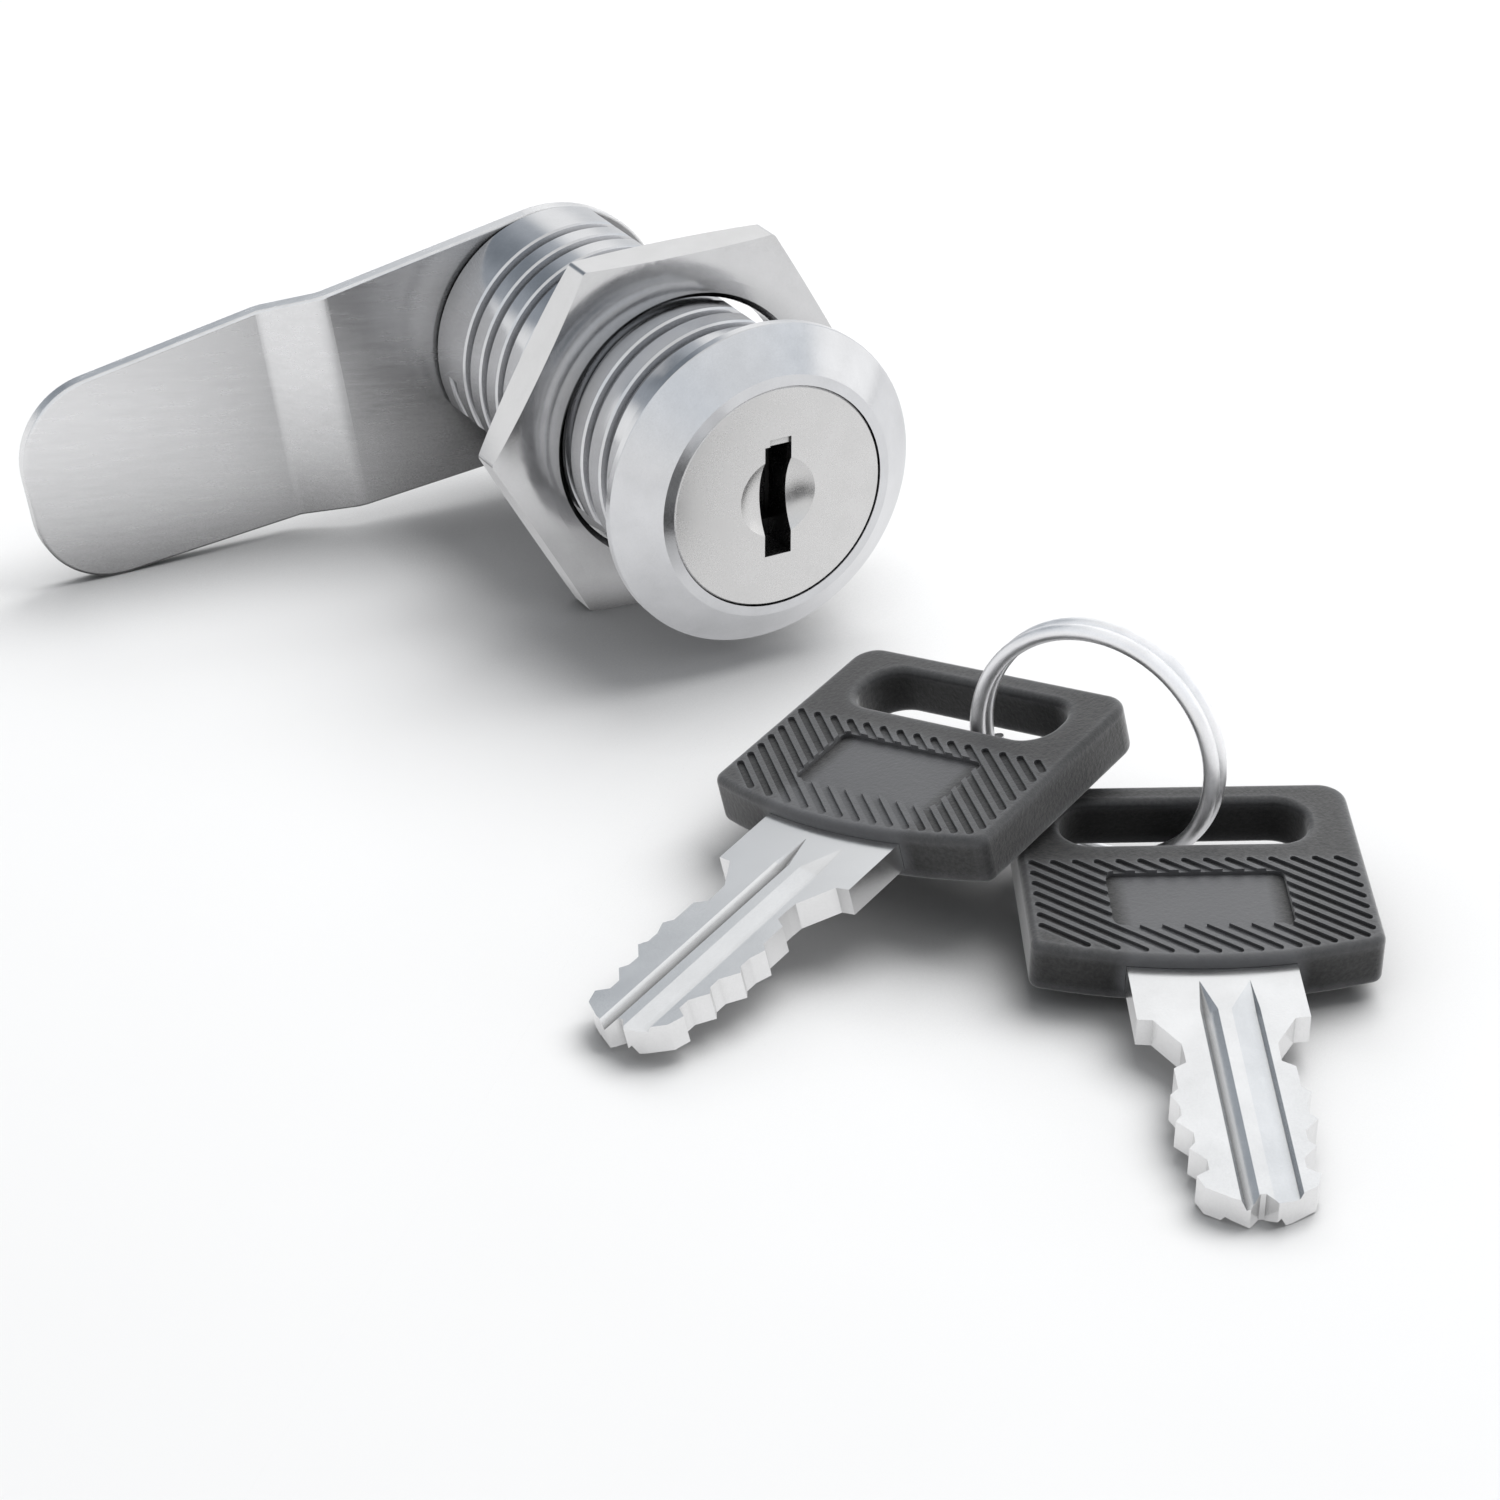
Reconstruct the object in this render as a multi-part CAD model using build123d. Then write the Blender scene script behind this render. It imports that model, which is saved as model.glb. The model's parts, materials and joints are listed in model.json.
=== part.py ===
from build123d import *
import os
from math import cos, radians, sin, sqrt

# Cam lock with two keys on a ring.  Millimetres, +Z up.
# Origin: on the lock axis, in the rear face of the head, which seats on the panel.
# The lock axis is Y, with the key face towards -Y.  The cam points to -X at rest.
# The lock pieces are drawn in LOCK coordinates: x towards the cam (-X), y up, z rearward (+Y).

# --- head and threaded barrel -------------------------------------------------------------
head_diameter = 23.0
head_height = 3.0                 # edge round the plug to panel seat
head_rim = 0.6                    # straight rim under the bevel
head_lip_width = 0.73             # narrow band between the plug and the bevel
head_lip_fall = 0.12              # band's outer edge behind its inner edge
head_edge_round = 0.12
barrel_diameter = 18.9
barrel_length = 30.4              # panel seat to rear end
barrel_end_chamfer = 0.25
barrel_flat_depth = 0.75
barrel_flats_angle = 131.0        # direction of the flats' normal, degrees in LOCK x-y

thread_pitch = 2.62
thread_crest_width = 1.24         # groove's width at the barrel's surface
thread_wall_width = 0.84          # and where its edge chamfers meet its walls
thread_floor_width = 0.64
thread_chamfer_depth = 0.10
thread_groove_depth = 0.55
thread_start = 1.75               # panel seat to the first groove
thread_end_margin = 2.5           # plain length left at the barrel's rear end

# --- plug, turned by the key ---------------------------------------------------------------
plug_face_inset = 0.05            # behind the head's edge
plug_flange_step = 1.2            # flange over the plug's body, radial
plug_flange_thickness = 2.1
plug_flange_clearance = 0.07      # radial, in the head
plug_flange_float = 0.05          # axial, over the head's shoulder
plug_diameter = 13.4
plug_clearance = 0.05             # radial, in the barrel's bore
plug_edge_round = 0.10
dish_diameter = 5.72
dish_depth = 0.90
keyway_side_play = 0.21           # keyway over the blade's thickness
keyway_end_play = 0.14            # keyway over the blade's width
keyway_drop = 0.25                # keyway's middle below the plug's
keyway_depth = 19.5
notch_width = 1.63                # shallow notch over the keyway
notch_height = 0.50
notch_offset = 0.185              # away from the cam's side
notch_depth = 0.20
tail_diameter = 7.6
tail_across_flats = 5.8
tail_fit = 0.05                   # clearance per side in the washer and the cam
tail_short_of_cam = 0.05          # the screw clamps the cam, not the tail

# --- wafers and their springs --------------------------------------------------------------
wafer_thickness = 1.10
wafer_side_wall = 3.6             # wafer's side to the plug's surface, measured across the middle
wafer_inset = 0.08                # wafer ends inside the plug's surface when drawn in
wafer_side_clearance = 0.05
wafer_travel = 0.65
wafer_groove_clearance = 0.22     # radial, past a fully extended wafer
wafer_groove_side = 0.30
wafer_ear_reach = 1.85            # beyond the wafer's side
wafer_ear_height = 1.40
wafer_window_width = 2.6
wafer_window_play = 0.10
spring_diameter = 1.20
spring_wire = 0.22
spring_turns = 5
spring_wall = 0.62                # spring's foot to the plug's surface
spring_pocket_clearance = 0.15
spring_end_gap = 0.04

# --- rear end: stop washer, cam, washer and screw --------------------------------------------
stop_recess_depth = 1.65
stop_recess_step = 1.15           # recess over the plug's body, radial
stop_washer_clearance = 0.10      # radial, in the bore and in the stop recess
stop_washer_proud = 0.15          # gap between the barrel's end and the cam
stop_washer_floor_gap = 0.10
stop_tab_width = 40.0             # degrees
stop_tab_angle = 200.0            # degrees in LOCK x-y, at rest
stop_end_gap = 1.0                # degrees left at each end of the turn
plug_turn = 90.0                  # degrees
cam_length = 40.6                 # lock axis to the tip
cam_root_inset = 0.15             # cam's root inside the barrel's surface
cam_tip_corner = 6.0
cam_tip_flat = 3.5
cam_thickness = 1.2
cam_droop = 8.3                   # degrees below horizontal at rest
crank_start = 17.05
crank_end = 21.2
crank_offset = 1.7
crank_bend_radius = 2.0
cam_edge_round = 0.22
screw_diameter = 4.0
screw_shank_length = 7.0
screw_hole_clearance = 0.05
screw_hole_spare = 0.6            # below the screw's end
screw_tip_chamfer = 0.5
screw_crown = [(1.0, 0.45), (0.86, 0.82), (0.55, 1.0)]   # shares of head radius and height
screw_head_diameter = 7.6
screw_head_height = 2.6
screw_recess_width = 1.0
screw_recess_length = 4.4
screw_recess_depth = 1.5
cam_washer_diameter = 9.4
cam_washer_thickness = 0.8

# --- hexagon nut ---------------------------------------------------------------------------
nut_across_flats = 25.5
nut_thickness = 3.3
nut_position = 9.98               # panel seat to the nut's front face
nut_thread_clearance = 0.05       # radial, over the barrel's crests
nut_countersink = 0.40
nut_face_start = 1.4              # faces fall away from this far outside the bore
nut_face_round = 13.0             # radius on which they fall away to the corners
nut_corner_round = 0.40

# --- keys ----------------------------------------------------------------------------------
key_head_width = 20.9
key_head_length = 16.4
key_head_bulge = 1.7
key_head_thickness = 3.3
key_head_back_corner = 1.7
key_head_front_corner = 0.8
key_head_edge_round = 0.45
ring_slot_length = 15.2
ring_slot_play = 2.40             # slot's width over the ring's turns
ring_slot_end_radius = 1.95
ring_slot_to_front = 12.35
panel_width = 10.8
panel_length = 5.5
panel_front = 1.75                # head's front edge to the sunk panel
panel_depth = 0.45
panel_corner = 0.55
hatch_angle = 39.0                # degrees the slots fall to the right
hatch_spacing = 0.83              # from slot to slot, square to them
hatch_width = 0.48
hatch_depth = 0.20
hatch_top = 8.25                  # highest slot ends, from the head's front edge
hatch_side_margin = 0.78          # slot ends to the head's sides and front edge
blade_thickness = 1.8
blade_root_width = 10.0
blade_shoulder = 6.4              # head's front edge to the shoulder
blade_length = 22.7
blade_tang_width = 8.6
blade_tang_length = 7.6
tang_fit = 0.02
cut_first = 10.0
cut_pitch = 2.35
cut_half_land = 0.42
cut_half_widths = [2.70, 3.45, 3.55, 3.10, 2.65]
peak_half_widths = [3.45, 3.95, 3.95, 3.50, 3.40]
shoulder_steps = [(4.1, 3.5), (2.75, 1.25)]   # half width, distance before the first cut
tip_steps = [(3.05, 1.35), (1.7, 0.45), (0.75, 0), (0.15, 0.75)]  # half width, from the tip
groove_start = 2.9
groove_runout = 2.6
narrow_groove = (-0.96, 0.31, 0.73, 0.60)     # centre, left half, right half, depth
wide_groove = (2.00, 1.45, 0.20, 0.33)

# --- how the pieces lie on one flat surface ---------------------------------------------------
floor_gap = 0.03
key_2_yaw = -27.5
key_2_pitch = 4.5
key_2_place = (0.72, -52.44)      # front edge of the head, X and Y
key_1_yaw = -68.5
key_1_roll = -8.3
key_1_pitch = 9.4
key_1_place = (-11.57, -31.90)
key_1_rest_gap = 0.12             # over the corner of the second key's head
rest_corner_inset = 0.8           # point of that corner which carries the first key
ring_centre = (3.93, -35.73)
ring_facing = -151.1              # degrees, direction of the ring's axis
ring_mean_radius = 7.9
ring_wire = 1.0
ring_turn_gap = 0.03              # between one turn and the next
ring_turns = 2
ring_end_angle = 285.0            # degrees round the ring from its lowest point

# --- values worked out from the above ---------------------------------------------------------
LOCK = Plane(origin=(0, 0, 0), x_dir=(-1, 0, 0), z_dir=(0, 1, 0)).location
barrel_radius = barrel_diameter / 2
barrel_across_flats = barrel_diameter - 2 * barrel_flat_depth
plug_radius = plug_diameter / 2
bore_radius = plug_radius + plug_clearance
flange_radius = plug_radius + plug_flange_step
flange_bore = flange_radius + plug_flange_clearance
head_ridge_radius = flange_bore + head_lip_width
keyway_width = blade_thickness + keyway_side_play
keyway_height = 2 * max(peak_half_widths) + keyway_end_play
wafer_width = plug_diameter - 2 * wafer_side_wall
stop_recess_radius = plug_radius + stop_recess_step
cam_root_radius = barrel_radius - cam_root_inset
ring_pitch = ring_wire + ring_turn_gap
ring_slot_width = ring_turns * ring_pitch + ring_slot_play
face_z = -head_height + plug_face_inset
shoulder_z = face_z + plug_flange_thickness + plug_flange_float
recess_floor_z = barrel_length - stop_recess_depth
plug_end_z = recess_floor_z + stop_washer_floor_gap
cam_z = barrel_length + stop_washer_proud
cam_back_z = cam_z + cam_thickness
nut_radius = nut_across_flats / 2 / cos(radians(30))
floor_z = -nut_across_flats / 2
wafer_end_radius = plug_radius - wafer_inset
key_stop_z = face_z - blade_shoulder
wafer_places = [key_stop_z + cut_first + cut_pitch * i for i in range(len(cut_half_widths))]


def turned(points):
    """Solid of revolution about Z from (radius, z) points."""
    return revolve(Plane.XZ * make_face(Polyline(*points, close=True)), Axis.Z)


def bar(length, width, low, high):
    """Box centred on Z, from z = low to z = high."""
    return Pos(0, 0, (low + high) / 2) * Box(length, width, high - low)


def double_d(diameter, across_flats, low, high):
    """Round bar with two flats facing left and right."""
    round_bar = Pos(0, 0, (low + high) / 2) * Cylinder(diameter / 2, high - low)
    return round_bar & bar(across_flats, diameter, low, high)


def prism(face, low, high):
    """Sketch in X-Y carried from z = low to z = high."""
    return extrude(Pos(0, 0, low) * face, amount=high - low)


# --- lock body ------------------------------------------------------------------------------
def thread_groove():
    start = thread_start
    height = barrel_length - thread_end_margin - thread_start
    spiral = Pos(0, 0, start) * Helix(thread_pitch, height, barrel_radius)
    outside = 0.15
    slope = (thread_crest_width - thread_wall_width) / thread_chamfer_depth
    steps = [(-outside, thread_crest_width + slope * outside),
             (thread_chamfer_depth, thread_wall_width),
             (thread_groove_depth, thread_floor_width)]
    front = [(barrel_radius - depth, start - width / 2) for depth, width in steps]
    rear = [(barrel_radius - depth, start + width / 2) for depth, width in reversed(steps)]
    section = Plane.XZ * make_face(Polyline(*front, *rear, close=True))
    return sweep(section, path=spiral, is_frenet=True)


def stop_recess():
    """Sector behind the bore in which the stop washer's tab travels."""
    first = stop_tab_angle - stop_tab_width / 2 - stop_end_gap
    span = stop_tab_width + plug_turn + 2 * stop_end_gap
    radius = stop_recess_radius
    ends = [(radius * cos(radians(a)), radius * sin(radians(a))) for a in (first, first + span)]
    sector = make_face([Line((0, 0), ends[0]),
                        CenterArc((0, 0), radius, first, span),
                        Line(ends[1], (0, 0))])
    return prism(sector, recess_floor_z, barrel_length + 1)


def wafer_chambers():
    """Four grooves in the bore, where drawn-out wafers hold the plug at either end of its turn."""
    radius = wafer_end_radius + wafer_travel + wafer_groove_clearance
    low = wafer_places[0] - wafer_thickness / 2 - wafer_groove_side
    high = wafer_places[-1] + wafer_thickness / 2 + wafer_groove_side
    width = wafer_width + 2 * wafer_groove_side
    cross = bar(2 * radius, width, low, high) + bar(width, 2 * radius, low, high)
    return cross & (Pos(0, 0, (low + high) / 2) * Cylinder(radius, high - low))


def housing():
    body = turned([
        (flange_bore, -head_height), (head_ridge_radius, -head_height + head_lip_fall),
        (head_diameter / 2, -head_rim), (head_diameter / 2, 0), (barrel_radius, 0),
        (barrel_radius, barrel_length - barrel_end_chamfer),
        (barrel_radius - barrel_end_chamfer, barrel_length),
        (bore_radius, barrel_length), (bore_radius, shoulder_z), (flange_bore, shoulder_z)])
    rim = body.edges().filter_by(GeomType.CIRCLE).filter_by(
        lambda e: abs(e.radius - head_diameter / 2) < 0.01 and e.center().Z < -head_rim / 2)
    body = fillet(rim, head_edge_round)
    body -= thread_groove()
    side = (head_diameter - barrel_across_flats) / 2
    for turn in (0, 180):
        cutter = Rot(0, 0, barrel_flats_angle + turn) * Pos(
            barrel_across_flats / 2 + side / 2, 0, (barrel_length + 1) / 2) * Box(
            side, head_diameter, barrel_length + 1)
        body -= cutter
    return body - stop_recess() - wafer_chambers()


# --- plug ------------------------------------------------------------------------------------
def wafer_turn(i):
    """Alternate wafers work upwards and downwards."""
    return Rot(0, 0, 180 * (i % 2))


ear_x = wafer_width / 2 + wafer_ear_reach / 2
ear_low = -wafer_ear_height / 2
spring_low = -sqrt((plug_radius - spring_wall) ** 2 - (ear_x + spring_diameter / 2) ** 2)
spring_length = ear_low - spring_end_gap - spring_low


def wafer_slot(i):
    """Pocket in the plug for wafer i, its ear and its spring."""
    z = wafer_places[i]
    gap = wafer_side_clearance
    low = z - wafer_thickness / 2 - gap
    high = z + wafer_thickness / 2 + gap
    slot = bar(wafer_width + 2 * gap, plug_diameter + 1, low, high)
    ear_room = wafer_ear_height + wafer_travel + 3 * gap
    slot += Pos(ear_x, ear_low - gap + ear_room / 2, 0) * bar(
        wafer_ear_reach + 2 * gap, ear_room, low, high)
    pocket_radius = spring_diameter / 2 + spring_pocket_clearance
    depth = spring_length + 2 * spring_end_gap
    slot += Pos(ear_x, ear_low - depth / 2, z) * Rot(90, 0, 0) * Cylinder(pocket_radius, depth)
    return wafer_turn(i) * slot


def dish():
    rim = dish_diameter / 2
    radius = (rim ** 2 + dish_depth ** 2) / (2 * dish_depth)
    return Pos(0, 0, face_z + dish_depth - radius) * Sphere(radius)


def keyway():
    """Slot for the blade, and the shallow notch over it in the face."""
    slot = Pos(0, -keyway_drop, 0) * bar(
        keyway_width, keyway_height, face_z - 1, face_z + keyway_depth)
    notch_y = keyway_height / 2 - keyway_drop + notch_height / 2
    notch = Pos(-notch_offset, notch_y, 0) * bar(
        notch_width, notch_height, face_z - 1, face_z + notch_depth)
    return slot + notch


def plug_core():
    flange = flange_radius
    edge = plug_edge_round
    body = turned([
        (0, face_z), (flange - edge, face_z), (flange, face_z + edge),
        (flange, face_z + plug_flange_thickness), (plug_radius, face_z + plug_flange_thickness),
        (plug_radius, plug_end_z), (0, plug_end_z)])
    tail_end = cam_back_z - tail_short_of_cam
    body += double_d(tail_diameter, tail_across_flats, plug_end_z, tail_end)
    body -= dish()
    body -= keyway()
    for i in range(len(wafer_places)):
        body -= wafer_slot(i)
    hole_radius = screw_diameter / 2 + screw_hole_clearance
    hole_low = cam_back_z + cam_washer_thickness - screw_shank_length - screw_hole_spare
    body -= Pos(0, 0, (hole_low + tail_end + 1) / 2) * Cylinder(hole_radius, tail_end + 1 - hole_low)
    return body


def wafer(i):
    z = wafer_places[i]
    low = z - wafer_thickness / 2
    high = z + wafer_thickness / 2
    plate = bar(wafer_width, plug_diameter, low, high)
    plate &= Pos(0, 0, z) * Cylinder(wafer_end_radius, wafer_thickness)
    plate += Pos(ear_x - 0.05, 0, 0) * bar(wafer_ear_reach + 0.1, wafer_ear_height, low, high)
    window = 2 * cut_half_widths[i] + 2 * wafer_window_play
    return wafer_turn(i) * plate - Pos(0, -keyway_drop, 0) * bar(
        wafer_window_width, window, low - 1, high + 1)


def coil(mean_radius, wire, pitch, turns):
    """Round wire wound about Z, starting at z = 0 in the +X direction."""
    spiral = Helix(pitch, pitch * turns, mean_radius)
    section = Plane.XZ * Pos(mean_radius, 0) * Circle(wire / 2)
    return sweep(section, path=spiral, is_frenet=True)


def wafer_spring(i):
    pitch = (spring_length - spring_wire) / spring_turns
    spring = coil((spring_diameter - spring_wire) / 2, spring_wire, pitch, spring_turns)
    place = Pos(ear_x, spring_low + spring_wire / 2, wafer_places[i]) * Rot(-90, 0, 0)
    return wafer_turn(i) * place * spring


# --- rear end ----------------------------------------------------------------------------------
def tail_hole(low, high):
    return double_d(tail_diameter + 2 * tail_fit, tail_across_flats + 2 * tail_fit, low, high)


def stop_washer():
    radius = bore_radius - stop_washer_clearance
    tab_radius = stop_recess_radius - stop_washer_clearance
    first = stop_tab_angle - stop_tab_width / 2
    corners = [(tab_radius * cos(radians(a)), tab_radius * sin(radians(a)))
               for a in (first, first + stop_tab_width)]
    tab = make_face([Line((0, 0), corners[0]),
                     CenterArc((0, 0), tab_radius, first, stop_tab_width),
                     Line(corners[1], (0, 0))])
    disc = prism(Circle(radius) + tab, plug_end_z, cam_z)
    return disc - tail_hole(plug_end_z - 1, cam_z + 1)


def cam_outline():
    """Rounded root on the lock axis, straight tapering sides and a blunt rounded tip."""
    tip_x = cam_length - cam_tip_corner
    circles = Circle(cam_root_radius).edges()
    circles += Circle(cam_tip_corner).moved(Pos(tip_x, cam_tip_flat / 2)).edges()
    circles += Circle(cam_tip_corner).moved(Pos(tip_x, -cam_tip_flat / 2)).edges()
    return make_hull(circles)


def is_cam_rim(edge):
    """Edges along the cam's outline, not those through its thickness or across its crank."""
    run = edge @ 1 - edge @ 0
    straight_across = edge.geom_type == GeomType.LINE and abs(run.X) < 0.01
    return not straight_across or abs(abs(run.Y) - cam_tip_flat) < 0.01


def cam():
    middle = cam_z + cam_thickness / 2
    beyond = 5.0
    path = FilletPolyline(
        (-cam_root_radius - beyond, 0, middle), (crank_start, 0, middle),
        (crank_end, 0, middle + crank_offset), (cam_length + beyond, 0, middle + crank_offset),
        radius=crank_bend_radius)
    section = Plane(path @ 0, x_dir=(0, 1, 0), z_dir=path % 0) * Rectangle(
        2 * cam_root_radius + beyond, cam_thickness)
    strip = sweep(section, path=path)
    plate = strip & prism(cam_outline(), cam_z - 1, cam_back_z + crank_offset + 1)
    plate = fillet(plate.edges().filter_by(is_cam_rim), cam_edge_round)
    return Rot(0, 0, -cam_droop) * plate - tail_hole(cam_z - 1, cam_back_z + 1)


def cam_washer():
    high = cam_back_z + cam_washer_thickness
    ring = Pos(0, 0, (cam_back_z + high) / 2) * Cylinder(cam_washer_diameter / 2, cam_washer_thickness)
    return ring - Pos(0, 0, high) * Cylinder(screw_diameter / 2 + screw_hole_clearance, 4)


def cam_screw():
    seat = cam_back_z + cam_washer_thickness
    top = seat + screw_head_height
    head_radius = screw_head_diameter / 2
    radius = screw_diameter / 2
    end = seat - screw_shank_length
    crown = [(head_radius * r, seat + screw_head_height * h) for r, h in screw_crown]
    body = turned([
        (0, end), (radius - screw_tip_chamfer, end), (radius, end + screw_tip_chamfer),
        (radius, seat), (head_radius, seat), *crown, (0, top)])
    for turn in (0, 90):
        body -= Rot(0, 0, turn) * bar(
            screw_recess_length, screw_recess_width, top - screw_recess_depth, top + 1)
    return body


# --- nut -----------------------------------------------------------------------------------------
def nut_blank(low, high):
    """Round blank whose faces fall away towards the nut's corners."""
    start = barrel_radius + nut_face_start
    beyond = nut_radius + 0.5
    fall = nut_face_round - sqrt(nut_face_round ** 2 - (beyond - start) ** 2)
    half = make_face([
        Line((0, high), (0, low)), Line((0, low), (start, low)),
        TangentArc((start, low), (beyond, low + fall), tangent=(1, 0)),
        Line((beyond, low + fall), (beyond, high - fall)),
        TangentArc((start, high), (beyond, high - fall), tangent=(1, 0)),
        Line((start, high), (0, high))])
    return revolve(Plane.XZ * half, Axis.Z)


def hex_nut():
    low = nut_position
    high = nut_position + nut_thickness
    outline = RegularPolygon(nut_radius, 6)
    body = prism(fillet(outline.vertices(), nut_corner_round), low, high) & nut_blank(low, high)
    bore = barrel_radius + nut_thread_clearance
    sink = nut_countersink
    return body - turned([
        (0, low - 1), (bore + sink + 1, low - 1), (bore, low + sink), (bore, high - sink),
        (bore + sink + 1, high + 1), (0, high + 1)])


# --- keys, drawn with y towards the ring, x to the right and z = 0 in the blade's middle --------
def blade_half():
    """Right-hand edge of the blade, from the head to the tip."""
    root = blade_root_width / 2
    edge = [(root, -blade_shoulder)] + [(x, before - cut_first) for x, before in shoulder_steps]
    for i, (half, peak) in enumerate(zip(cut_half_widths, peak_half_widths)):
        y = -(cut_first + cut_pitch * i)
        edge += [(half, y + cut_half_land), (half, y - cut_half_land), (peak, y - cut_pitch * 0.4)]
    return edge + [(x, y - blade_length) for x, y in tip_steps]


def blade_groove(groove):
    """V groove along the blade, running out to nothing towards the head."""
    centre, left, right, depth = groove
    top = blade_thickness / 2
    start = -groove_start
    full = -groove_start - groove_runout
    far = -blade_length - 1

    def section(y, share):
        above = 0.2
        half_left = left * share * (1 + above / (depth * share))
        half_right = right * share * (1 + above / (depth * share))
        points = [(centre - half_left, y, top + above), (centre + half_right, y, top + above),
                  (centre, y, top - depth * share)]
        return make_face(Polyline(*points, close=True))

    runout = loft([section(start, 0.04), section(full, 1.0)])
    return runout + loft([section(full, 1.0), section(far, 1.0)])


def key_blade():
    right = blade_half()
    left = [(-x, y) for x, y in reversed(right)]
    root = blade_root_width / 2
    tang = blade_tang_width / 2
    inside = blade_tang_length
    outline = [(tang, inside), (tang, 1.0), (root, 1.0)] + right + left
    outline += [(-root, 1.0), (-tang, 1.0), (-tang, inside)]
    half = blade_thickness / 2
    blade = prism(make_face(Polyline(*outline, close=True)), -half, half)
    for side in (0, 180):
        for groove in (narrow_groove, wide_groove):
            blade -= Rot(0, side, 0) * blade_groove(groove)
    return blade


def head_outline():
    half = key_head_width / 2
    back = key_head_length
    shape = make_face([
        Line((-half, 0), (-half, back)), Line((-half, back), (half, back)),
        Line((half, back), (half, 0)), ThreePointArc((half, 0), (0, -key_head_bulge), (-half, 0))])
    backs = shape.vertices().filter_by(lambda v: v.Y > back / 2)
    shape = fillet(backs, key_head_back_corner)
    fronts = shape.vertices().filter_by(lambda v: abs(abs(v.X) - half) < 0.01 and v.Y < 1)
    return fillet(fronts, key_head_front_corner)


def front_edge(x):
    """Y of the head's curved front edge at x."""
    half = key_head_width / 2
    radius = (half ** 2 + key_head_bulge ** 2) / (2 * key_head_bulge)
    return radius - key_head_bulge - sqrt(radius ** 2 - x ** 2)


def hatch():
    """Parallel slots with round ends that fill the head's border round the sunk panel."""
    slope = radians(hatch_angle)
    along = (cos(slope), -sin(slope))
    side = key_head_width / 2 - hatch_side_margin
    step = hatch_spacing / sin(slope)
    row_step = hatch_spacing / cos(slope)
    starts = [(-side + step * i, hatch_top) for i in range(int(2 * side / step) + 1)]
    rows = int((hatch_top - hatch_side_margin) / row_step)
    starts += [(-side, hatch_top - row_step * i) for i in range(1, rows + 1)]
    lines = Sketch()
    for x, y in starts:
        length = 0.0
        while inside_hatch(x + along[0] * length, y + along[1] * length):
            length += 0.05
        if length > hatch_width:
            middle = Pos(x + along[0] * length / 2, y + along[1] * length / 2)
            lines += middle * SlotCenterToCenter(length, hatch_width, rotation=-hatch_angle)
    return lines


def inside_hatch(x, y):
    side = key_head_width / 2 - hatch_side_margin
    return x <= side and y >= front_edge(min(x, side)) + hatch_side_margin


def key_head():
    half = key_head_thickness / 2
    slot = Pos(0, ring_slot_to_front) * RectangleRounded(
        ring_slot_length, ring_slot_width, ring_slot_end_radius)
    body = prism(head_outline() - slot, -half, half)
    rims = body.edges().filter_by(lambda e: abs(abs(e.center().Z) - half) < 0.001)
    body = fillet(rims, key_head_edge_round)
    panel = Pos(0, panel_front + panel_length / 2) * RectangleRounded(
        panel_width, panel_length, panel_corner)
    lines = hatch()
    for side in (1, -1):
        top = Rot(0, 0 if side > 0 else 180, 0)
        body -= top * prism(panel, half - panel_depth, half + 1)
        body -= top * prism(lines, half - hatch_depth, half + 1)
    tang = Pos(0, blade_tang_length / 2 - 5) * Rectangle(
        blade_tang_width + 2 * tang_fit, blade_tang_length + 10 + 2 * tang_fit)
    mouth = Pos(0, 1 - 5) * Rectangle(blade_root_width + 2 * tang_fit, 10 + 2 * tang_fit)
    depth = blade_thickness / 2 + tang_fit
    return body - prism(tang + mouth, -depth, depth)


def key_turn(yaw, roll, pitch):
    return Rot(0, 0, yaw) * Rot(0, roll, 0) * Rot(pitch, 0, 0)


def key_2_pose():
    """The second key lies on the surface at its tip, with the ring's wire under its back bar."""
    turn = key_turn(key_2_yaw, 0, key_2_pitch)
    tip = turn * Pos(0, -blade_length, -blade_thickness / 2)
    z = floor_z + floor_gap - tip.position.Z
    return Pos(key_2_place[0], key_2_place[1], z) * turn


def key_1_pose():
    """The first key lies across the corner of the second one's head."""
    half = key_head_thickness / 2
    inset = rest_corner_inset
    corner = key_2_pose() * Pos(-key_head_width / 2 + inset, key_head_length - inset, half)
    turn = key_turn(key_1_yaw, key_1_roll, key_1_pitch)
    normal = (turn * Pos(0, 0, 1)).position
    dx = corner.position.X - key_1_place[0]
    dy = corner.position.Y - key_1_place[1]
    under = corner.position.Z + (normal.X * dx + normal.Y * dy) / normal.Z
    z = under + (half + key_1_rest_gap) / normal.Z
    return Pos(key_1_place[0], key_1_place[1], z) * turn


def key_ring():
    """Split ring standing upright on the surface, wound as two turns of wire."""
    ring = coil(ring_mean_radius, ring_wire, ring_pitch, ring_turns)
    ring = Pos(0, 0, -ring_pitch * ring_turns / 2) * ring
    z = floor_z + floor_gap + ring_mean_radius + ring_wire / 2
    facing = radians(ring_facing)
    axis = (cos(facing), sin(facing), 0)
    upright = Plane(origin=(ring_centre[0], ring_centre[1], z), x_dir=(0, 0, -1), z_dir=axis)
    return upright.location * Rot(0, 0, ring_end_angle) * ring


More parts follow.
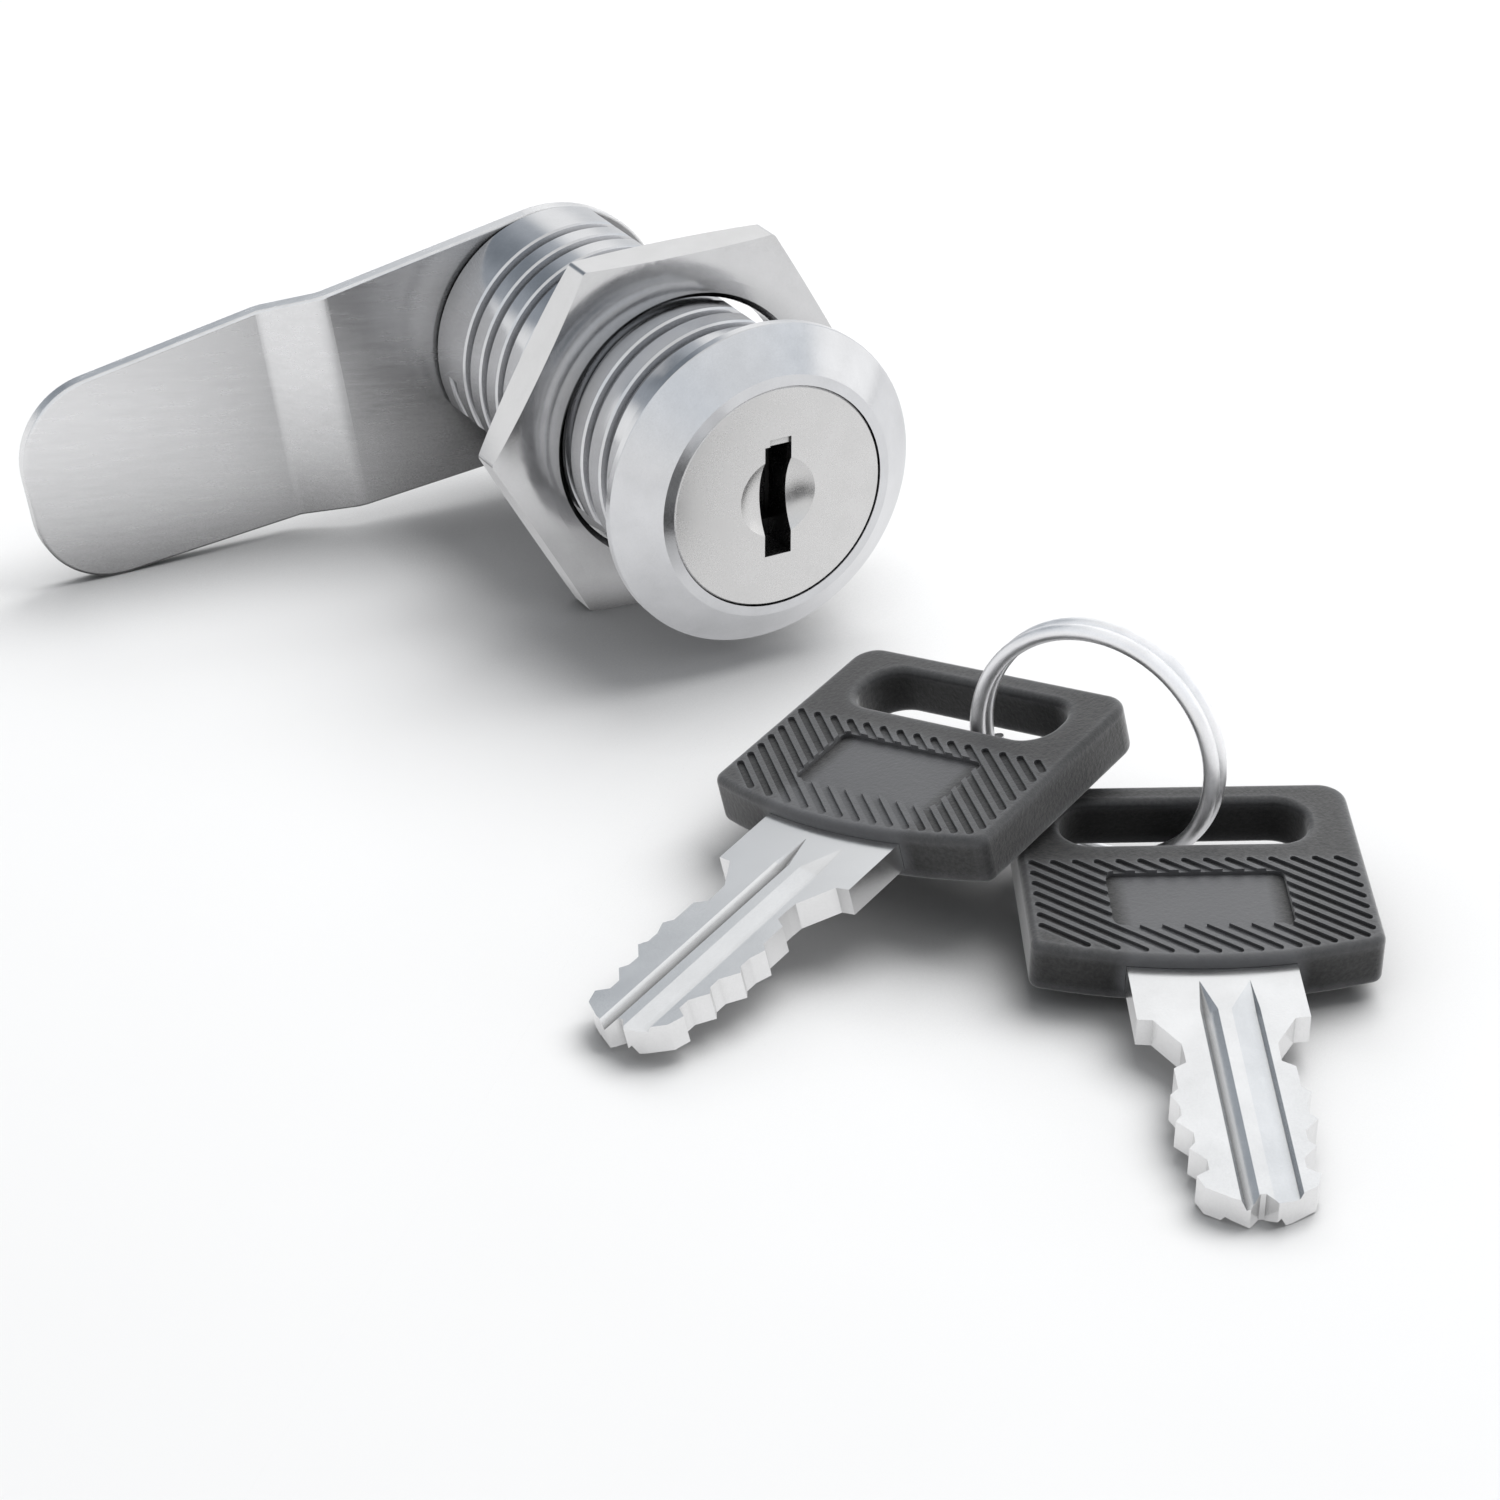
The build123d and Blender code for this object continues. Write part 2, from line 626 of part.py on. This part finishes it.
def build():
    pieces = {
        "housing": LOCK * housing(),
        "plug_core": LOCK * plug_core(),
        "stop_washer": LOCK * stop_washer(),
        "cam": LOCK * cam(),
        "cam_washer": LOCK * cam_washer(),
        "cam_screw": LOCK * cam_screw(),
        "hex_nut": LOCK * hex_nut(),
    }
    for i in range(len(wafer_places)):
        pieces[f"wafer_{i + 1}"] = LOCK * wafer(i)
        pieces[f"wafer_spring_{i + 1}"] = LOCK * wafer_spring(i)
    blade = key_blade()
    head = key_head()
    for name, pose in (("key_1", key_1_pose()), ("key_2", key_2_pose())):
        pieces[f"{name}_blade"] = pose * blade
        pieces[f"{name}_head"] = pose * head
    pieces["key_ring"] = key_ring()
    return pieces


if __name__ == "__main__":
    os.makedirs("parts", exist_ok=True)
    for name, piece in build().items():
        export_step(piece, f"parts/{name}.step")
        print(name, round(piece.volume, 3))
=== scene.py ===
"""A cam lock and two keys on a ring, lying on a pale studio floor.

The CAD model is the fixed frame.  Everything is in metres in the CAD's own frame: the lock axis is Y,
the key face looks along -Y, +Z is up.
"""
import bpy
import json
from math import cos, radians
from mathutils import Matrix, Vector


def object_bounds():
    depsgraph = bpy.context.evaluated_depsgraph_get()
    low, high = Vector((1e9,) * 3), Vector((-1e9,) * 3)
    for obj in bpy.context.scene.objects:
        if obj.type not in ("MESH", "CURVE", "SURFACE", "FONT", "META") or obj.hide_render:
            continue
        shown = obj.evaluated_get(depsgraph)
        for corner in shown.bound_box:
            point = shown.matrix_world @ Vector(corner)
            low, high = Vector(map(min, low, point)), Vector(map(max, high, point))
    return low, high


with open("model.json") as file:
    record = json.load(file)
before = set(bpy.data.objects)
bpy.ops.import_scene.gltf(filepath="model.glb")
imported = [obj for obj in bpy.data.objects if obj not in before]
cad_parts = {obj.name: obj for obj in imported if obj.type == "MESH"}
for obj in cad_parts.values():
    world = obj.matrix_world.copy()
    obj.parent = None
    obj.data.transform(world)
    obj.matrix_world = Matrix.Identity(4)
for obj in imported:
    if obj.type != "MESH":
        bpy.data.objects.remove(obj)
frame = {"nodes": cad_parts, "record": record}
cad_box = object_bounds()
MM = 0.001
OCCLUSION_SAMPLES = 4    # rays per lookup; 16 of them doubled the render time
CAM_DROOP = 8.3          # degrees below level, the way the cam's brush marks run


# --- material nodes ------------------------------------------------------------------------------
CREVICE = (0.30, 0.90)      # occlusion values taken as fully shut and as fully open, for the painted shade
EDGE = (0.50, 0.92)         # occlusion values inside a piece, taken as an edge and as a flat


class Nodes:
    """Small helper round one material's node tree."""

    def __init__(self, name):
        self.material = bpy.data.materials.new(name)
        self.material.use_nodes = True
        self.tree = self.material.node_tree
        self.shader = self.tree.nodes["Principled BSDF"]
        self.bump_chain = None
        self.open_share = None

    def node(self, kind, **settings):
        made = self.tree.nodes.new(kind)
        for key, value in settings.items():
            setattr(made, key, value)
        return made

    def link(self, a, b):
        self.tree.links.new(a, b)

    def coordinates(self, scale=(1, 1, 1), turn=(0, 0, 0)):
        """Object coordinates in millimetres, turned and then scaled."""
        source = self.node("ShaderNodeTexCoord")
        turned = self.node("ShaderNodeMapping", vector_type="POINT")
        turned.inputs["Rotation"].default_value = [radians(v) for v in turn]
        stretched = self.node("ShaderNodeMapping", vector_type="POINT")
        stretched.inputs["Scale"].default_value = [v / MM for v in scale]
        self.link(source.outputs["Object"], turned.inputs["Vector"])
        self.link(turned.outputs["Vector"], stretched.inputs["Vector"])
        return stretched.outputs["Vector"]

    def noise(self, vector, scale=1.0, detail=3.0, roughness=0.5):
        """Fractal noise, mostly from 0.3 to 0.7, which spread() stretches."""
        made = self.node("ShaderNodeTexNoise")
        made.inputs["Scale"].default_value = scale
        made.inputs["Detail"].default_value = detail
        made.inputs["Roughness"].default_value = roughness
        self.link(vector, made.inputs["Vector"])
        return made.outputs["Fac"]

    def spread(self, value, low, high, from_low=0.3, from_high=0.7):
        """Maps from_low..from_high to low..high and stops there."""
        made = self.node("ShaderNodeMapRange", clamp=True)
        made.inputs["From Min"].default_value = from_low
        made.inputs["From Max"].default_value = from_high
        made.inputs["To Min"].default_value = low
        made.inputs["To Max"].default_value = high
        self.link(value, made.inputs["Value"])
        return made.outputs["Result"]

    def math(self, operation, a, b):
        made = self.node("ShaderNodeMath", operation=operation)
        for socket, value in zip(made.inputs, (a, b)):
            if isinstance(value, (int, float)):
                socket.default_value = value
            else:
                self.link(value, socket)
        return made.outputs[0]

    def tint(self, value, dark, light):
        """A colour between dark and light."""
        made = self.node("ShaderNodeMix", data_type="RGBA")
        made.inputs["A"].default_value = (*dark, 1)
        made.inputs["B"].default_value = (*light, 1)
        self.link(value, made.inputs["Factor"])
        return made.outputs["Result"]

    def shaded(self, colour, reach, least, own_surface_only):
        """Painted shade: darkens a colour near surfaces within reach millimetres, where shade falls,
        down to a least share of it.
        """
        crevice = self.node("ShaderNodeAmbientOcclusion", samples=OCCLUSION_SAMPLES,
                            only_local=own_surface_only)
        crevice.inputs["Distance"].default_value = reach * MM
        share = self.spread(crevice.outputs["AO"], least, 1.0, *CREVICE)
        self.open_share = share
        made = self.node("ShaderNodeMix", data_type="RGBA", blend_type="MULTIPLY")
        made.inputs["Factor"].default_value = 1.0
        self.link(colour, made.inputs["A"])
        self.link(share, made.inputs["B"])
        return made.outputs["Result"]

    def edges(self, reach):
        """Near 1 on outer edges, within reach millimetres of them, and 0 on flats."""
        inside = self.node("ShaderNodeAmbientOcclusion", samples=OCCLUSION_SAMPLES,
                           only_local=True, inside=True)
        inside.inputs["Distance"].default_value = reach * MM
        return self.spread(inside.outputs["AO"], 1.0, 0.0, *EDGE)

    def bump(self, height, distance):
        """Adds relief whose full height is distance millimetres."""
        made = self.node("ShaderNodeBump")
        made.inputs["Strength"].default_value = 1.0
        made.inputs["Distance"].default_value = distance * MM
        self.link(height, made.inputs["Height"])
        if self.bump_chain is not None:
            self.link(self.bump_chain, made.inputs["Normal"])
        self.bump_chain = made.outputs["Normal"]
        self.link(self.bump_chain, self.shader.inputs["Normal"])


DARK_CLOUD = 0.85           # share of a metal's colour in its darkest clouds
CLOUD_ROUGHNESS = (0.75, 1.3)       # shares of its roughness in its darkest and its palest clouds
FINE_SHARE = 0.4            # share of the fine grain in those clouds,
BRUSHED_SHARE = 0.7         # or of the brush marks
BRUSHED_STRETCH = 0.12      # brush marks: frequency along them over that across them
TURNED_ACROSS = 0.02        # turned marks: frequency square to the lock's axis, per mm


def plated(name, colour, roughness, cloud=0.35, grain=0.0010, turned=None, brushed=None,
           crevices=(0.6, 0.35, True)):
    """Plated metal: cloudy patches, fine grain, painted shade in crevices and near other pieces, and
    turned or brushed marks.

    turned is (marks per mm, depth in mm); brushed is (direction, marks per mm, depth in mm);
    crevices is (reach in mm, least share, own surface only) of that painted shade, or None.
    """
    n = Nodes(name)
    dark = [c * DARK_CLOUD for c in colour]
    clouds = n.noise(n.coordinates(), scale=cloud, detail=3.0, roughness=0.5)
    fine = n.noise(n.coordinates(), scale=9.0, detail=2.0)
    streaks, share = fine, FINE_SHARE
    if brushed is not None:
        direction, scale, depth = brushed
        share = BRUSHED_SHARE
        streaks = n.noise(n.coordinates((BRUSHED_STRETCH * scale, scale, scale), turn=direction),
                          detail=4.0, roughness=0.65)
        n.bump(streaks, depth)
    mixed = n.math("ADD", n.math("MULTIPLY", clouds, 1 - share), n.math("MULTIPLY", streaks, share))
    clean = n.tint(n.spread(mixed, 0, 1, 0.25, 0.75), dark, colour)
    # painted shade: the colour darkens in crevices and near other pieces, where shade falls
    if crevices is not None:
        clean = n.shaded(clean, *crevices)
    n.link(clean, n.shader.inputs["Base Color"])
    n.link(n.spread(mixed, *[roughness * c for c in CLOUD_ROUGHNESS]), n.shader.inputs["Roughness"])
    n.shader.inputs["Metallic"].default_value = 1.0
    n.bump(fine, grain)
    if turned is not None:
        scale, depth = turned
        marks = n.noise(n.coordinates((TURNED_ACROSS, scale, TURNED_ACROSS)), detail=3.0,
                        roughness=0.7)
        n.bump(marks, depth)
    return n.material


def black_plastic():
    """Moulded plastic with a fine sandy grain, a painted highlight on its edges, and painted shade near
    the floor and other pieces.
    """
    n = Nodes("key_head_plastic")
    grain = n.noise(n.coordinates(), scale=3.6, detail=3.0, roughness=0.65)
    patches = n.noise(n.coordinates(), scale=0.25, detail=3.0)
    pits, tops = (0.004, 0.004, 0.0045), (0.037, 0.0365, 0.036)
    # painted highlight: the rounded edges are paler, standing in for light on them
    edge_highlight = (0.110, 0.112, 0.118)
    flat = n.tint(n.spread(grain, 0, 1, 0.35, 0.65), pits, tops)
    made = n.node("ShaderNodeMix", data_type="RGBA")
    made.inputs["B"].default_value = (*edge_highlight, 1)
    n.link(n.edges(0.9), made.inputs["Factor"])
    # painted shade: darker near the floor and the other pieces
    n.link(n.shaded(flat, reach=8.0, least=0.10, own_surface_only=False), made.inputs["A"])
    n.link(made.outputs["Result"], n.shader.inputs["Base Color"])
    n.link(n.spread(patches, 0.38, 0.47), n.shader.inputs["Roughness"])
    # the specular level falls with that painted shade, so the sides near the floor reflect less
    n.link(n.math("MULTIPLY", n.open_share, 0.5), n.shader.inputs["Specular IOR Level"])
    n.shader.inputs["Sheen Weight"].default_value = 0.60
    n.shader.inputs["Sheen Roughness"].default_value = 0.45
    n.bump(grain, 0.030)
    return n.material


# --- the object's finishes, with painted shade in their crevices ------------------------------------
finishes = {
    "lock_body": plated("body_plating", (0.70, 0.705, 0.72), 0.17, cloud=0.5, turned=(2.2, 0.0015),
                        crevices=(0.5, 0.06, True)),
    "lock_plug": plated("plug_plating", (0.71, 0.705, 0.70), 0.26, cloud=0.4, grain=0.0005,
                        crevices=(3.0, 0.05, True)),
    "nut": plated("nut_plating", (0.675, 0.675, 0.68), 0.15, cloud=0.4, crevices=(3.0, 0.12, False)),
    # the cam's colour is painted darker towards the barrel and nut, down to black: painted shade
    "cam": plated("cam_brushed", (0.83, 0.83, 0.835), 0.24, cloud=0.25,
                  brushed=((0, -CAM_DROOP, 0), 2.2, 0.0035), crevices=(13.0, 0.0, False)),
    "steel_pieces": plated("steel_plating", (0.60, 0.60, 0.61), 0.25),
    # the wafers are near black so that the keyway reads dark: painted shade
    "wafers": plated("wafer_steel", (0.10, 0.10, 0.10), 0.35),
    "springs": plated("spring_wire", (0.50, 0.50, 0.51), 0.3, crevices=None),
    "key_blade": plated("key_nickel", (0.84, 0.84, 0.84), 0.20, cloud=0.3, crevices=(0.6, 0.45, True)),
    "key_head": black_plastic(),
    "ring_wire": plated("ring_polish", (0.97, 0.97, 0.98), 0.38, cloud=0.6, crevices=None),
}

slot_of = {part["node"]: part["material_slot"] for part in frame["record"]["subparts"]}
for name, piece in frame["nodes"].items():
    piece.data.materials.clear()
    piece.data.materials.append(finishes[slot_of[name]])


# --- floor ------------------------------------------------------------------------------------------
FLOOR_HALF_SIZE = 3.0           # metres
FLOOR_FADE = (130, 300)         # millimetres from the lock, where the paper turns plain white
FLOOR_WHITE_IN_GLOSS = 0.5      # share of glowing white that reflections see in place of the paper: painted light lifting its shadows


def studio_floor():
    low = cad_box[0][2]
    size = FLOOR_HALF_SIZE
    mesh = bpy.data.meshes.new("floor")
    mesh.from_pydata([(-size, -size, low), (size, -size, low), (size, size, low), (-size, size, low)],
                     [], [(0, 1, 2, 3)])
    floor = bpy.data.objects.new("floor", mesh)
    bpy.context.scene.collection.objects.link(floor)
    n = Nodes("floor_paper")
    tone = n.noise(n.coordinates((0.05, 0.05, 0.05)), detail=2.0)
    paper = n.tint(tone, (0.865, 0.865, 0.865), (0.885, 0.885, 0.885))
    # painted contact shadow: the paper darkens near the lock and keys
    paper_with_painted_shadow = n.shaded(paper, reach=12.0, least=0.55, own_surface_only=False)
    n.link(paper_with_painted_shadow, n.shader.inputs["Base Color"])
    n.shader.inputs["Roughness"].default_value = 0.9
    n.shader.inputs["Specular IOR Level"].default_value = 0.1
    # far off the paper glows plain white as a backdrop; in reflections it glows half white, which is
    # painted light
    path = n.node("ShaderNodeLightPath")
    lit = n.node("ShaderNodeEmission")
    lit.inputs["Color"].default_value = (0.97, 0.97, 0.98, 1)
    both = n.node("ShaderNodeMixShader")
    distance = n.node("ShaderNodeVectorMath", operation="LENGTH")
    n.link(n.coordinates(), distance.inputs[0])
    faded = n.spread(distance.outputs["Value"], 0, 1, *FLOOR_FADE)
    far = n.math("SUBTRACT", faded, path.outputs["Is Diffuse Ray"])
    in_gloss = n.math("MULTIPLY", path.outputs["Is Glossy Ray"], FLOOR_WHITE_IN_GLOSS)
    n.link(n.math("MAXIMUM", in_gloss, far), both.inputs[0])
    n.link(n.shader.outputs["BSDF"], both.inputs[1])
    n.link(lit.outputs["Emission"], both.inputs[2])
    n.link(both.outputs["Shader"], n.tree.nodes["Material Output"].inputs["Surface"])
    mesh.materials.append(n.material)


studio_floor()


# --- light ------------------------------------------------------------------------------------------
KEY_PLACE = (0.45, 0.10, 0.75)      # to the right, about 60 degrees up
KEY_SIZE = (0.8, 0.8)


def softbox(name, place, size, power, in_reflections=True):
    """Rectangular light aimed at the lock, power in watts."""
    light = bpy.data.lights.new(name, "AREA")
    light.shape = "RECTANGLE"
    light.size, light.size_y = size
    light.energy = power
    holder = bpy.data.objects.new(name, light)
    holder.location = place
    holder.rotation_euler = (-Vector(place)).to_track_quat("-Z", "Y").to_euler()
    holder.visible_glossy = in_reflections
    bpy.context.scene.collection.objects.link(holder)


class World:
    """Surroundings drawn by direction: a base by height, with brighter panels and darker flags."""

    def __init__(self):
        world = bpy.data.worlds.new("studio")
        bpy.context.scene.world = world
        world.use_nodes = True
        self.tree = world.node_tree
        self.source = self.tree.nodes.new("ShaderNodeTexCoord")
        self.value = None

    def by_height(self, stops):
        """Base colours; a stop is (height from -1 straight down to 1 straight up, colour)."""
        parts = self.tree.nodes.new("ShaderNodeSeparateXYZ")
        ramp = self.tree.nodes.new("ShaderNodeValToRGB")
        shift = self.tree.nodes.new("ShaderNodeMapRange")
        shift.inputs["From Min"].default_value = -1.0
        self.tree.links.new(self.source.outputs["Generated"], parts.inputs["Vector"])
        self.tree.links.new(parts.outputs["Z"], shift.inputs["Value"])
        self.tree.links.new(shift.outputs["Result"], ramp.inputs["Fac"])
        colours = ramp.color_ramp
        for _ in stops[2:]:
            colours.elements.new(0.5)
        for element, (height, colour) in zip(colours.elements, stops):
            element.position = (height + 1) / 2
            element.color = (*colour, 1)
        self.value = ramp.outputs["Color"]

    def patch(self, direction, inner, outer, colour):
        """Mixes towards a colour inside a cone round direction; inner and outer are half-angles
        in degrees."""
        dot = self.tree.nodes.new("ShaderNodeVectorMath")
        dot.operation = "DOT_PRODUCT"
        dot.inputs[1].default_value = Vector(direction).normalized()
        edge = self.tree.nodes.new("ShaderNodeMapRange")
        edge.interpolation_type = "SMOOTHSTEP"
        edge.inputs["From Min"].default_value = cos(radians(outer))
        edge.inputs["From Max"].default_value = cos(radians(inner))
        mix = self.tree.nodes.new("ShaderNodeMix")
        mix.data_type = "RGBA"
        mix.inputs["B"].default_value = (*colour, 1)
        self.tree.links.new(self.source.outputs["Generated"], dot.inputs[0])
        self.tree.links.new(dot.outputs["Value"], edge.inputs["Value"])
        self.tree.links.new(edge.outputs["Result"], mix.inputs["Factor"])
        self.tree.links.new(self.value, mix.inputs["A"])
        self.value = mix.outputs["Result"]

    def finish(self, strength, on_matt):
        """Strength in gloss, and the smaller one on matt surfaces; behind the object it is plain."""
        path = self.tree.nodes.new("ShaderNodeLightPath")
        change = self.tree.nodes.new("ShaderNodeMapRange")
        change.inputs["To Min"].default_value = strength
        change.inputs["To Max"].default_value = on_matt
        background = self.tree.nodes["Background"]
        plain = self.tree.nodes.new("ShaderNodeMix")
        plain.data_type = "RGBA"
        plain.inputs["B"].default_value = (*grey(0.97), 1)
        self.tree.links.new(path.outputs["Is Diffuse Ray"], change.inputs["Value"])
        self.tree.links.new(change.outputs["Result"], background.inputs["Strength"])
        self.tree.links.new(path.outputs["Is Camera Ray"], plain.inputs["Factor"])
        self.tree.links.new(self.value, plain.inputs["A"])
        self.tree.links.new(plain.outputs["Result"], background.inputs["Color"])


def grey(value, blue=0.0):
    """A grey, or a bluish one."""
    return (value * (1 - blue), value * (1 - blue / 3), value * (1 + blue / 2))


def studio_light():
    world = World()
    world.by_height([(-1.0, grey(0.85)), (-0.45, grey(1.03)), (0.0, grey(0.97)),
                     (0.30, grey(0.95, 0.02)), (0.62, grey(0.90, 0.06)), (0.80, grey(0.95, 0.02)),
                     (1.0, grey(0.80))])
    # darker flags behind the lock, which give the barrel and nut their dark bands
    world.patch((-0.30, 0.92, 0.10), 20, 62, grey(0.42, 0.12))
    world.patch((-0.20, 0.76, 0.62), 5, 17, grey(0.26, 0.16))
    # brighter panels for the tops of the keys and nut, the nut's left flat, and the head's right side
    world.patch((0.45, 0.74, 0.50), 9, 18, grey(1.12))
    world.patch((-0.64, 0.76, 0.13), 8, 18, grey(1.10))
    world.patch((0.95, -0.25, 0.20), 12, 26, grey(1.25))
    world.finish(strength=1.0, on_matt=0.34)
    softbox("key_light", KEY_PLACE, KEY_SIZE, 3.3, in_reflections=False)
    softbox("key_light_seen", KEY_PLACE, KEY_SIZE, 7.0)
    softbox("rear_light", (0.25, 0.60, 0.45), (0.6, 0.3), 1.0, in_reflections=False)


studio_light()


# --- camera -----------------------------------------------------------------------------------------
def photograph_camera():
    camera = bpy.data.cameras.new("camera")
    camera.sensor_width = 36.0
    camera.lens = 92.73
    camera.clip_start = 0.01
    holder = bpy.data.objects.new("camera", camera)
    place = Vector((-117.41, -206.38, 110.38)) * MM
    azimuth, elevation, roll = 29.54, 28.92, 0.12       # degrees
    turn = (Matrix.Rotation(radians(-azimuth), 4, "Z") @ Matrix.Rotation(radians(90 - elevation), 4, "X")
            @ Matrix.Rotation(radians(roll), 4, "Z"))
    holder.matrix_world = Matrix.Translation(place) @ turn
    bpy.context.scene.collection.objects.link(holder)
    bpy.context.scene.camera = holder


photograph_camera()
bpy.context.scene.view_settings.view_transform = "Standard"
